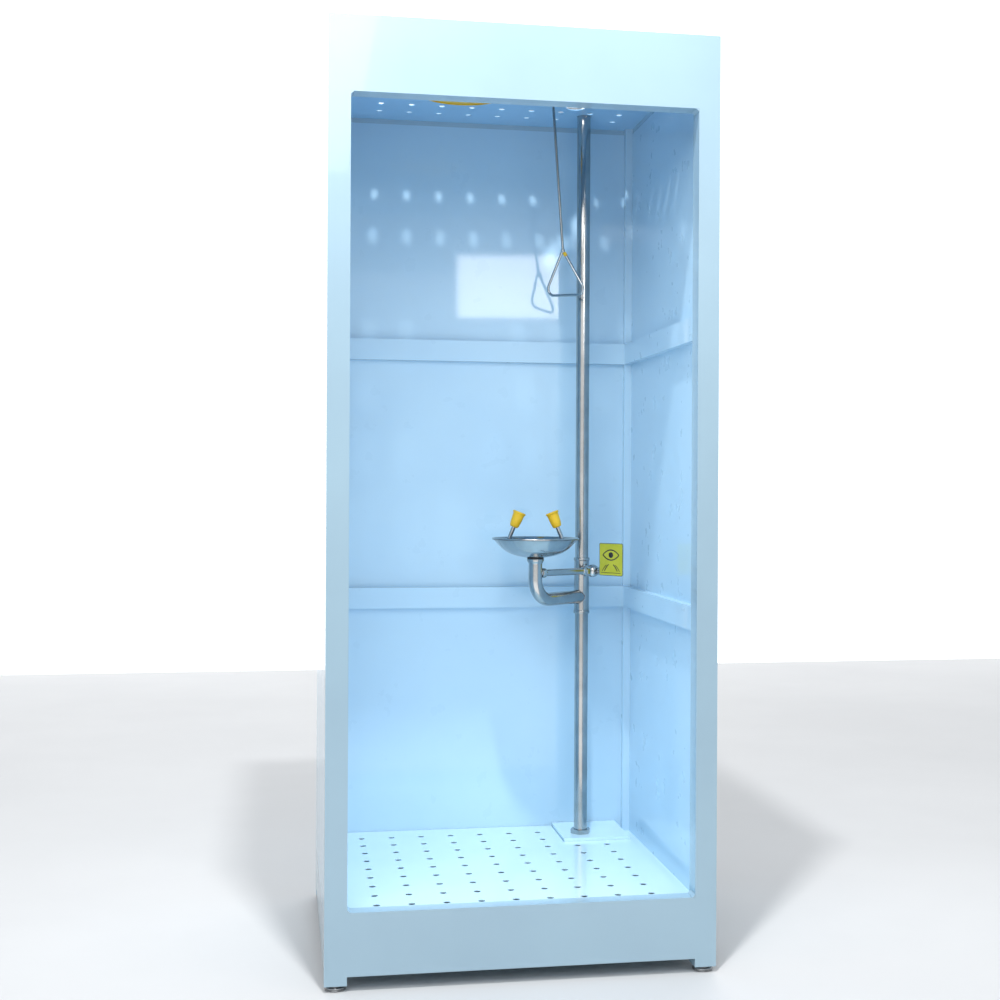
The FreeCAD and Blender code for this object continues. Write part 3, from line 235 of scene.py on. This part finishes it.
def skin(work, rings, closed=False, material=0):
    """Faces between successive rings of vertices. A ring of one vertex is a pole."""
    pairs = list(zip(rings, rings[1:]))
    if closed:
        pairs.append((rings[-1], rings[0]))
    for low, high in pairs:
        count = max(len(low), len(high))
        for k in range(count):
            n = (k + 1) % count
            corners = [low[k % len(low)], low[n % len(low)], high[n % len(high)], high[k % len(high)]]
            face = list(dict.fromkeys(corners))
            if len(face) > 2:
                work.faces.new(face).material_index = material


def lathe(work, place, points, steps=96, closed=True, material=0):
    """An outline turned about a frame's Z: (radius, height) or (radius, height, rounding) in millimetres."""
    rings = []
    for radius, height in softened(points):
        if radius < 1e-6:
            rings.append([work.verts.new(place @ Vector((0, 0, height * MM)))])
            continue
        rings.append([
            work.verts.new(place @ (Vector((radius * math.cos(a), radius * math.sin(a), height)) * MM))
            for a in circle(steps)])
    skin(work, rings, closed, material)


def sweep(work, path, radius, steps, closed=False, material=0, bore=0):
    """A round bar, or a tube with a bore, along a path in metres. Both radii are in millimetres."""
    count = len(path)
    tangents = []
    for k in range(count):
        before = path[k - 1] if k or closed else path[k]
        after = path[(k + 1) % count] if k < count - 1 or closed else path[k]
        tangents.append((after - before).normalized())
    side = tangents[0].orthogonal().normalized()
    sides = []
    for tangent in tangents:
        side = (side - tangent * side.dot(tangent)).normalized()
        sides.append(side)

    def rings_of(size):
        rings = []
        for point, tangent, across in zip(path, tangents, sides):
            up = tangent.cross(across)
            rings.append([work.verts.new(point + (across * math.cos(a) + up * math.sin(a)) * size * MM)
                          for a in circle(steps)])
        return rings

    outer = rings_of(radius)
    if bore:
        skin(work, outer + rings_of(bore)[::-1], True, material)
        return
    skin(work, outer, closed, material)
    if not closed:
        work.faces.new(outer[0][::-1]).material_index = material
        work.faces.new(outer[-1]).material_index = material


def bend(points, radius, steps):
    """A path of straight runs in metres with an arc, its radius in millimetres, at each inner corner."""
    path = [points[0]]
    for before, corner, after in zip(points, points[1:], points[2:]):
        a, b = (before - corner).normalized(), (after - corner).normalized()
        half = a.angle(b) / 2
        reach = radius * MM / math.tan(half)
        middle = corner + (a + b).normalized() * (radius * MM / math.sin(half))
        start, end = (corner + a * reach - middle).normalized(), (corner + b * reach - middle).normalized()
        path += [middle + start.slerp(end, k / steps) * radius * MM for k in range(steps + 1)]
    return path + [points[-1]]


def in_plane(place, corners):
    """Points in metres from (x, z) corners in millimetres in a frame's XZ plane."""
    return [place @ Vector((x * MM, 0, z * MM)) for x, z in corners]


def nut(work, place, corner, low, high, bore, chamfer, sides=6, across=8):
    """A hexagon nut with turned chamfers and a plain bore."""
    steps = sides * across
    flat = corner * math.cos(math.pi / sides)
    cut = (corner + flat) / 2 - 0.1
    lead = chamfer * 0.25
    rings = []

    def ring(radius_at, height_at):
        made = []
        for angle in circle(steps):
            local = (angle + math.pi / sides) % (2 * math.pi / sides) - math.pi / sides
            edge = flat / math.cos(local)
            radius = radius_at(edge) * MM
            made.append(work.verts.new(place @ Vector((
                radius * math.cos(angle), radius * math.sin(angle), height_at(edge) * MM))))
        rings.append(made)

    def slope(edge):
        return lead + max(0, edge - cut) * 0.6

    ring(lambda edge: bore, lambda edge: low)
    ring(lambda edge: min(edge, cut) - lead, lambda edge: low)
    ring(lambda edge: edge, lambda edge: low + slope(edge))
    ring(lambda edge: edge, lambda edge: high - slope(edge))
    ring(lambda edge: min(edge, cut) - lead, lambda edge: high)
    ring(lambda edge: bore, lambda edge: high)
    skin(work, rings, True)


def thread(first, turns, crest, root):
    """The saw-tooth outline of a screw thread, from its first crest upwards."""
    outline = []
    for turn in range(turns):
        height = first + turn * THREAD_PITCH
        outline += [(crest, height), (root, height + THREAD_PITCH / 2)]
    return outline


def from_node(work, node):
    """The CAD node's own shape, added to a mesh in the making."""
    thing = frame["nodes"][node]
    mesh = thing.data.copy()
    mesh.transform(thing.matrix_world)
    work.from_mesh(mesh)
    bpy.data.meshes.remove(mesh)


def along(start, direction):
    """A frame whose Z axis runs from a point along a direction."""
    return Matrix.Translation(start) @ Vector(direction).to_track_quat("Z", "Y").to_matrix().to_4x4()


def fold(piece, width):
    """Rounded folds on a sheet piece's edges."""
    edges = piece.modifiers.new("folded_edges", "BEVEL")
    edges.width = width * MM
    edges.segments = 3
    edges.limit_method = "ANGLE"
    edges.angle_limit = math.radians(40)
    edges.use_clamp_overlap = True
    edges.harden_normals = True


# ---------------------------------------------------------------- CAD nodes that stay

PAINTED = {"back_left_post": "wall_paint", "back_right_post": "wall_paint",
           "catch_tray": "floor_paint", "floor_bearers": "floor_paint"}
for node, thing in frame["nodes"].items():
    thing.data.materials.clear()
    thing.data.materials.append(MATERIALS[PAINTED.get(node, SLOT_OF[node])])
    shade(thing.data, 30)

PLATE_FOLD, PANEL_FOLD, SHEET_FOLD = 0.3, 0.8, 1.2
FOLDED = {
    SHEET_FOLD: (
        "front_left_post", "front_right_post", "back_left_post", "back_right_post", "left_wall_rails",
        "right_wall_rails", "back_wall_rails", "top_rails", "base_rails", "ceiling_beams", "corner_plate",
        "catch_tray", "floor_bearers", "riser_clamp", "shower_lever"),
    PLATE_FOLD: ("push_plate", "push_label"),
}
for width, members in FOLDED.items():
    for node in members:
        fold(frame["nodes"][node], width)

# ---------------------------------------------------------------- the opening's corners

POST_SIDE, CORNER_CHAMFER = 444, 8
CHAMFER_FRONT, CHAMFER_BACK = 0.1, 44.8


def opening_frame(node, corner_height, way):
    """A front panel with a small chamfer where it meets each post. The way is up (1) or down (-1)."""
    work = bmesh.new()
    from_node(work, node)
    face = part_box(node)[0][1]
    depths = [face + depth * MM for depth in (CHAMFER_FRONT, CHAMFER_BACK)]
    for side in (-1, 1):
        edge = side * POST_SIDE
        outline = [(edge, corner_height), (edge - side * CORNER_CHAMFER, corner_height),
                   (edge, corner_height + way * CORNER_CHAMFER)]
        ends = [[work.verts.new((x * MM, depth, z * MM)) for x, z in outline] for depth in depths]
        skin(work, ends)
        for end in ends:
            work.faces.new(end)
    piece = add_piece(node + "_shown", work, "frame_paint", "cabin", node)
    fold(piece, PANEL_FOLD)


opening_frame("header_panel", 2223, -1)
opening_frame("base_panel", 195, 1)

# ---------------------------------------------------------------- riser, tee, drain and bowl


def pipes():
    """The riser, the waste pipe with its threaded end, and the nut on the corner plate."""
    work = bmesh.new()
    lathe(work, ARM, [
        (PIPE_BORE, RISER_BOTTOM), (PIPE, RISER_BOTTOM), (PIPE, RISER_TOP), (PIPE_BORE, RISER_TOP)])
    add_piece("riser_pipe_shown", work, "stainless", "cabin", "riser_pipe")
    work = bmesh.new()
    lathe(work, ARM, [
        (PIPE_BORE, WASTE_END), (19, WASTE_END), *thread(46, 26, 19.6, 18.9),
        (19.7, 85), (PIPE, 85), (PIPE, WASTE_TOP), (PIPE_BORE, WASTE_TOP)])
    add_piece("waste_pipe_shown", work, "stainless", "cabin", "waste_pipe")
    work = bmesh.new()
    nut(work, ARM, 31.7, 204, 217, PIPE, 1.6)
    add_piece("base_locknut_shown", work, "stainless", "cabin", "base_locknut")


def tee():
    """The tee with seams at its collars, the weld where the drain enters and the valve's boss."""
    work = bmesh.new()
    lathe(work, ARM, [
        (PIPE, TEE_BOTTOM), (22.6, TEE_BOTTOM, 1), (TEE_COLLAR, 868.4, 1), (TEE_COLLAR, 875, 1),
        (TEE, 876.6, 1), (TEE, 1026.4, 1), (TEE_COLLAR, 1028, 1), (TEE_COLLAR, 1034.6, 1), (22.6, TEE_TOP, 1),
        (PIPE, TEE_TOP), (PIPE, RISER_BOTTOM), (PIPE_BORE, RISER_BOTTOM), (PIPE_BORE, 972), (PIPE_BORE, 970),
        (0, 970), (0, 944), (PIPE_BORE, 944), (PIPE_BORE, WASTE_TOP), (PIPE, WASTE_TOP)])
    for height in (876.2, 1026.8):
        seam = [(22.1, height - 1), (22.9, height - 0.5, 0.4), (22.9, height + 0.5, 0.4), (22.1, height + 1)]
        lathe(work, ARM, seam, closed=False, material=1)
    weld_radius, weld_reach, weld_steps = 20.2, 22.4, 96
    bead = []
    for angle in circle(weld_steps):
        y = weld_radius * math.cos(angle)
        z = DRAIN_HEIGHT + weld_radius * math.sin(angle)
        bead.append(ARM @ Vector((math.sqrt(weld_reach ** 2 - y ** 2) * MM, y * MM, z * MM)))
    sweep(work, bead, 1.1, 12, closed=True, material=1)
    boss = ARM @ shift(0, 0, FEED_HEIGHT) @ turned(-90, "X")
    lathe(work, boss, [(6.5, 16), (13, 16), (13, 23.4, 0.6), (12.4, 24), (6.5, 24)])
    add_piece("combination_tee_shown", work, "stainless", "cabin", "combination_tee",
              look=("stainless", "weld_and_rim_shade"))


def drain():
    """The drain's elbow from the bowl to the tee, its coupling and the gasket under the bowl."""
    work = bmesh.new()
    path = in_plane(ARM, [(BOWL_REACH, NECK_TOP), (BOWL_REACH, DRAIN_HEIGHT), (11, DRAIN_HEIGHT)])
    sweep(work, bend(path, DRAIN_BEND, 28), DRAIN, 72, bore=DRAIN_BORE)
    add_piece("drain_elbow_shown", work, "stainless", "cabin", "drain_elbow")
    work = bmesh.new()
    lathe(work, BOWL, [
        (16, NECK_TOP), (DRAIN, NECK_TOP), (20.6, 1026, 1), (24.2, 1032, 2), (25, 1034.5, 1),
        (25, 1037.6, 0.8), (24.2, COUPLING_TOP), (16, COUPLING_TOP)])
    add_piece("drain_coupling_shown", work, "stainless", "cabin", "drain_coupling")
    work = bmesh.new()
    lathe(work, BOWL, [
        (17, COUPLING_TOP), (23.4, COUPLING_TOP, 0.8), (24.6, 1040.5, 1.2), (23.4, BOWL_FLOOR, 0.8),
        (17, BOWL_FLOOR)])
    add_piece("bowl_gasket_shown", work, "black_rubber", "cabin", "bowl_gasket")


def bowl():
    """A spun bowl with a rolled rim and a thin band of painted shade under it, standing for the rim's shadow
    and a painted dark reflection there.
    """
    work = bmesh.new()
    lathe(work, BOWL, [
        (17, BOWL_FLOOR), (27, BOWL_FLOOR, 6), (62, 1049, 22), (92, 1062.5, 26), (123, 1095.5, 4),
        (124.2, 1096, 1), (126.6, 1096.6, 1.2), (127, 1098.6, 1.4), (126, 1100.4, 1.2), (123.8, 1100.2, 1.5),
        (120.6, 1095.6, 3), (90.6, 1064.2, 26), (61.5, 1050.6, 22), (27, 1044.1, 6), (17, 1044.1)], 144)
    # Painted shade and painted dark reflection: a thin dark band just under the rolled rim, where the rim's
    # shadow falls.
    rim_shade_band = [(124.2, 1094.9), (125.9, 1095.5), (126.3, 1096.4), (124.6, 1096.8)]
    lathe(work, BOWL, rim_shade_band, 144, closed=False, material=1)
    add_piece("bowl_shown", work, "stainless", "cabin", "bowl", look=("stainless", "weld_and_rim_shade"))


# ---------------------------------------------------------------- nozzles and caps

NOZZLE_LEAN = math.degrees(math.atan2(NOZZLE_FOOT - NOZZLE_END, NOZZLE_END_HEIGHT - NOZZLE_FOOT_HEIGHT))


def nozzles():
    """The bent tube that feeds both nozzles, with its hub, and a dust cap on each end."""
    work = bmesh.new()
    left_end, left_foot, hub, right_foot, right_end = in_plane(NOZZLES, [
        (-NOZZLE_END, NOZZLE_END_HEIGHT), (-NOZZLE_FOOT, NOZZLE_FOOT_HEIGHT), (0, HUB_HEIGHT),
        (NOZZLE_FOOT, NOZZLE_FOOT_HEIGHT), (NOZZLE_END, NOZZLE_END_HEIGHT)])
    left = bend([left_end, left_foot, hub], NOZZLE_BEND, 16)
    right = bend([hub, right_foot, right_end], NOZZLE_BEND, 16)
    sweep(work, left + right[1:], NOZZLE, 40, bore=NOZZLE_BORE)
    lathe(work, BOWL, [
        (0, 985), (NOZZLE, 985), (NOZZLE, 1055), (9, 1056, 1), (9, 1069, 1.5), (6.5, 1070.5, 1), (0, 1070.5)],
        closed=False)
    add_piece("nozzle_manifold_shown", work, "stainless", "cabin", "nozzle_manifold")
    for name, side in (("left", -1), ("right", 1)):
        head = NOZZLES @ shift(side * NOZZLE_END, 0, NOZZLE_END_HEIGHT) @ turned(-side * NOZZLE_LEAN, "Y")
        work = bmesh.new()
        lathe(work, head, [
            (8.55, -9), (10.4, -9.4, 1), (13.4, -5.5, 4), (15.2, 5, 6), (16.2, 18, 6), (16.6, 27, 3),
            (17.2, 31, 1.5), (19.4, 33, 1), (19.8, 36, 1.2), (17.6, 38, 1.4), (15.4, 37.4, 1), (0, 37.6),
            (0, 30.3), (8.55, 30.3)])
        lathe(work, head, [(16.2, 30.2), (17.9, 30.6, 0.6), (17.9, 31.4, 0.6), (16.2, 31.8)], closed=False)
        add_piece(name + "_dust_cap_shown", work, "yellow_plastic", name + "_dust_cap", name + "_dust_cap")


# ---------------------------------------------------------------- eyewash valve, nuts and sign


def valve():
    """The supply tube from the valve to the bowl's neck, a nut at each end, and the valve's body."""
    feed = ARM @ Vector((0, VALVE_OFFSET * MM, FEED_HEIGHT * MM))
    run = ARM @ Vector((BOWL_REACH * MM, 0, FEED_HEIGHT * MM)) - feed
    reach = run.length / MM
    line = along(feed, run)
    work = bmesh.new()
    lathe(work, line, [
        (FEED_BORE, VALVE_FACE), (FEED, VALVE_FACE), (FEED, reach - 6), (FEED_BORE, reach - 6)], 64)
    add_piece("supply_tube_shown", work, "stainless", "cabin", "supply_tube")
    work = bmesh.new()
    nut(work, line, 16.8, VALVE_FACE, 31, FEED, 1.2)
    lathe(work, line, [(FEED, 31), (14, 31), (13.4, 35, 2), (11.6, 42, 1), (FEED, 43)], 64)
    lathe(work, line, [
        (FEED, reach - 38), (12.2, reach - 37.6, 1), (14.4, reach - 33, 2.5), (14.5, reach - 26, 2),
        (13.6, reach - 21.5, 1), (FEED, reach - 21)], 64)
    add_piece("supply_nuts_shown", work, "stainless", "cabin", "supply_nuts")
    work = bmesh.new()
    from_node(work, "eyewash_valve_body")
    push = along(feed, ARM.to_3x3() @ Vector((0, 1, 0)))
    lathe(work, push, [(12.0, 12.6), (13.2, 13, 0.6), (13.2, 15.4, 0.6), (12.0, 15.8)], 64, closed=False)
    add_piece("eyewash_valve_body_shown", work, "stainless", "cabin", "eyewash_valve_body")


def sign_mark():
    """A plain pictogram of an eye over two pairs of water jets, printed on the label.

    Places on the label are (u, v): u runs along the arm frame's Y axis and v up, both in millimetres.
    """
    work = bmesh.new()
    print_plane = 9.56
    middle_u, foot_v, eye_v = 118, 985, 1047
    eye_half, eye_rise, pupil, pupil_steps = 30, 15, 8.5, 32

    def patch(points):
        work.faces.new([work.verts.new(ARM @ Vector((print_plane * MM, u * MM, v * MM))) for u, v in points])

    def band(points, width):
        left, right = [], []
        for k, point in enumerate(points):
            before, after = Vector(points[max(k - 1, 0)]), Vector(points[min(k + 1, len(points) - 1)])
            way = (after - before).normalized()
            across = Vector((-way.y, way.x)) * width / 2
            left.append(Vector(point) + across)
            right.append(Vector(point) - across)
        for k in range(len(points) - 1):
            patch([left[k], left[k + 1], right[k + 1], right[k]])

    for way in (1, -1):
        band([(middle_u + x, eye_v + way * eye_rise * (1 - (x / eye_half) ** 2))
              for x in range(-eye_half, eye_half + 1, 3)], 3.4)
    patch([(middle_u + pupil * math.cos(a), eye_v + pupil * math.sin(a)) for a in circle(pupil_steps)])
    for side in (-1, 1):
        for start, rise, fall, width in ((24, 30, 10, 3.0), (32, 27, 9, 2.2)):
            band([(middle_u + side * (start - 16 * t), foot_v + 14 + rise * t - fall * t * t)
                  for t in (k / 10 for k in range(11))], width)
    band([(middle_u - 36, foot_v + 9), (middle_u + 36, foot_v + 9)], 1.6)
    piece = add_piece("push_label_print", work, "sign_plastic", "push_plate", look=("sign_ink",))
    thick = piece.modifiers.new("print_depth", "SOLIDIFY")
    thick.thickness = 0.08 * MM
    thick.offset = 0


# ---------------------------------------------------------------- shower head


def shower_head():
    """The drench shower's bell and the arm that carries it."""
    axis = ARM @ shift(HEAD_REACH, 0, 0)
    work = bmesh.new()
    lathe(work, axis, [
        (118, 2326), (124, 2326, 1), (125.4, 2327.4, 1), (125.4, 2331, 1.5), (122, 2334.4, 3), (80, 2344, 30),
        (44, 2354, 14), (30, 2361, 5), (21.5, 2364, 2), (20, 2367, 1), (20, 2391.4, 0.8), (19.4, 2392),
        (SHOWER_ARM, 2392), (SHOWER_ARM, DROP_END), (SHOWER_ARM_BORE, DROP_END), (SHOWER_ARM_BORE, 2362),
        (30, 2356, 6), (110, 2335), (118, 2332.4)], 128)
    add_piece("shower_bell_shown", work, "yellow_plastic", "cabin", "shower_bell")
    work = bmesh.new()
    path = in_plane(ARM, [(ARM_START, ARM_HEIGHT), (HEAD_REACH, ARM_HEIGHT), (HEAD_REACH, DROP_END)])
    sweep(work, bend(path, SHOWER_ARM_BEND, 24), SHOWER_ARM, 64, bore=SHOWER_ARM_BORE)
    add_piece("shower_arm_shown", work, "stainless", "cabin", "shower_arm")


# ---------------------------------------------------------------- feet


def feet():
    """Each levelling foot: a grooved round pad, its neck and a threaded stud, with two dark bands."""
    for name in ("front_left", "front_right", "back_left", "back_right"):
        node = name + "_foot"
        low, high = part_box(node)
        place = Matrix.Translation(((low[0] + high[0]) / 2, (low[1] + high[1]) / 2, 0))
        work = bmesh.new()
        lathe(work, place, [
            (0, 0), (22.5, 0, 0.8), (25, 1, 0.6), (27, 3, 0.8), (27, 4.2, 0.5), (26, 4.7), (26, 5.4),
            (27, 5.9, 0.5), (27, 8.2, 0.8), (25.4, 9.2, 0.5), (18.5, 9.2), (18.5, 13.6, 0.8), (17.6, 14.7),
            (7, 14.7)], closed=False)
        stud = [(7, 14.7), *thread(15.3, 29, 6.95, 6.2), (6.9, 59), (6, 60), (0, 60)]
        lathe(work, place, stud, 48, closed=False)
        for bottom, top, radius in ((4.5, 5.6, 26.35), (9.0, 10.4, 18.9)):
            dark = [(radius - 0.6, bottom), (radius, bottom + 0.2), (radius, top - 0.2), (radius - 0.6, top)]
            lathe(work, place, dark, closed=False, material=1)
        add_piece(node + "_shown", work, "foot_metal", node, node, look=("foot_metal", "foot_band"))


pipes()
tee()
drain()
bowl()
nozzles()
valve()
sign_mark()
shower_head()
feet()

# ---------------------------------------------------------------- floor, screen, light and camera


def stage_object(name, work, material):
    """A finished bmesh becomes an object of the stage."""
    mesh = bpy.data.meshes.new(name)
    work.to_mesh(mesh)
    work.free()
    mesh.materials.append(material)
    made = bpy.data.objects.new(name, mesh)
    bpy.context.scene.collection.objects.link(made)
    return made


def stage_floor():
    """A plain pale floor, 24 m square."""
    work = bmesh.new()
    bmesh.ops.create_grid(work, x_segments=1, y_segments=1, size=12)
    floor = stage_object("studio_floor", work, finish_material(
        "studio_floor", (0.69, 0.70, 0.71), (0.72, 0.73, 0.74), (0.5, 0.6), cloud=1, grain=60))


def backdrop():
    """A white lit screen behind the object."""
    work = bmesh.new()
    work.faces.new([work.verts.new(corner) for corner in ((-9, 6, -1), (9, 6, -1), (9, 6, 9), (-9, 6, 9))])
    made = bpy.data.materials.new("studio_screen")
    made.use_nodes = True
    shader = made.node_tree.nodes["Principled BSDF"]
    shader.inputs["Base Color"].default_value = (0.9, 0.9, 0.9, 1)
    shader.inputs["Emission Color"].default_value = (1, 1, 1, 1)
    shader.inputs["Emission Strength"].default_value = 1.0
    screen = stage_object("studio_screen", work, made)


def area_light(name, place, target, size, power):
    """A white rectangular lamp that faces a target. Places are in metres, the power in watts."""
    lamp = bpy.data.lights.new(name, "AREA")
    lamp.shape = "RECTANGLE"
    lamp.size, lamp.size_y = size
    lamp.energy = power
    thing = bpy.data.objects.new(name, lamp)
    thing.location = place
    thing.rotation_euler = (Vector(target) - Vector(place)).to_track_quat("-Z", "Y").to_euler()
    bpy.context.scene.collection.objects.link(thing)


stage_floor()
backdrop()
area_light("front_box", (-1.2, -2.9, 3.4), (0, 0, 1.8), (2.2, 1.6), 56)
area_light("window_box", (0.95, -5.0, 2.6), (0, 0, 1.5), (0.8, 0.42), 14)
area_light("right_box", (3.4, -3.6, 2.4), (0, 0, 1.2), (1.4, 2.4), 14)
area_light("roof_light", (-0.25, -1.6, 4.6), (0, 0.1, 2.1), (0.16, 0.16), 118)
area_light("door_fill", (0, -0.43, 1.12), (0, 1, 1.12), (0.78, 1.8), 3.6)

world = bpy.data.worlds.new("studio")
bpy.context.scene.world = world
world.use_nodes = True
world.node_tree.nodes["Background"].inputs["Color"].default_value = (0.93, 0.96, 1.0, 1)
world.node_tree.nodes["Background"].inputs["Strength"].default_value = 0.42

CAMERA_PLACE = (-0.605944, -4.125251, 1.252473)
YAW, PITCH, ROLL = 10.1766, -0.1073, -0.2907
eye = bpy.data.cameras.new("camera")
eye.lens = 53.331
eye.sensor_width = 36
eye.shift_x = -0.0484
eye.shift_y = -0.01175
camera = bpy.data.objects.new("camera", eye)
camera.matrix_world = (
    Matrix.Translation(CAMERA_PLACE) @ turned(-YAW, "Z") @ turned(90 + PITCH, "X") @ turned(-ROLL, "Z"))
bpy.context.scene.collection.objects.link(camera)
bpy.context.scene.camera = camera

bpy.context.scene.view_settings.view_transform = "Standard"
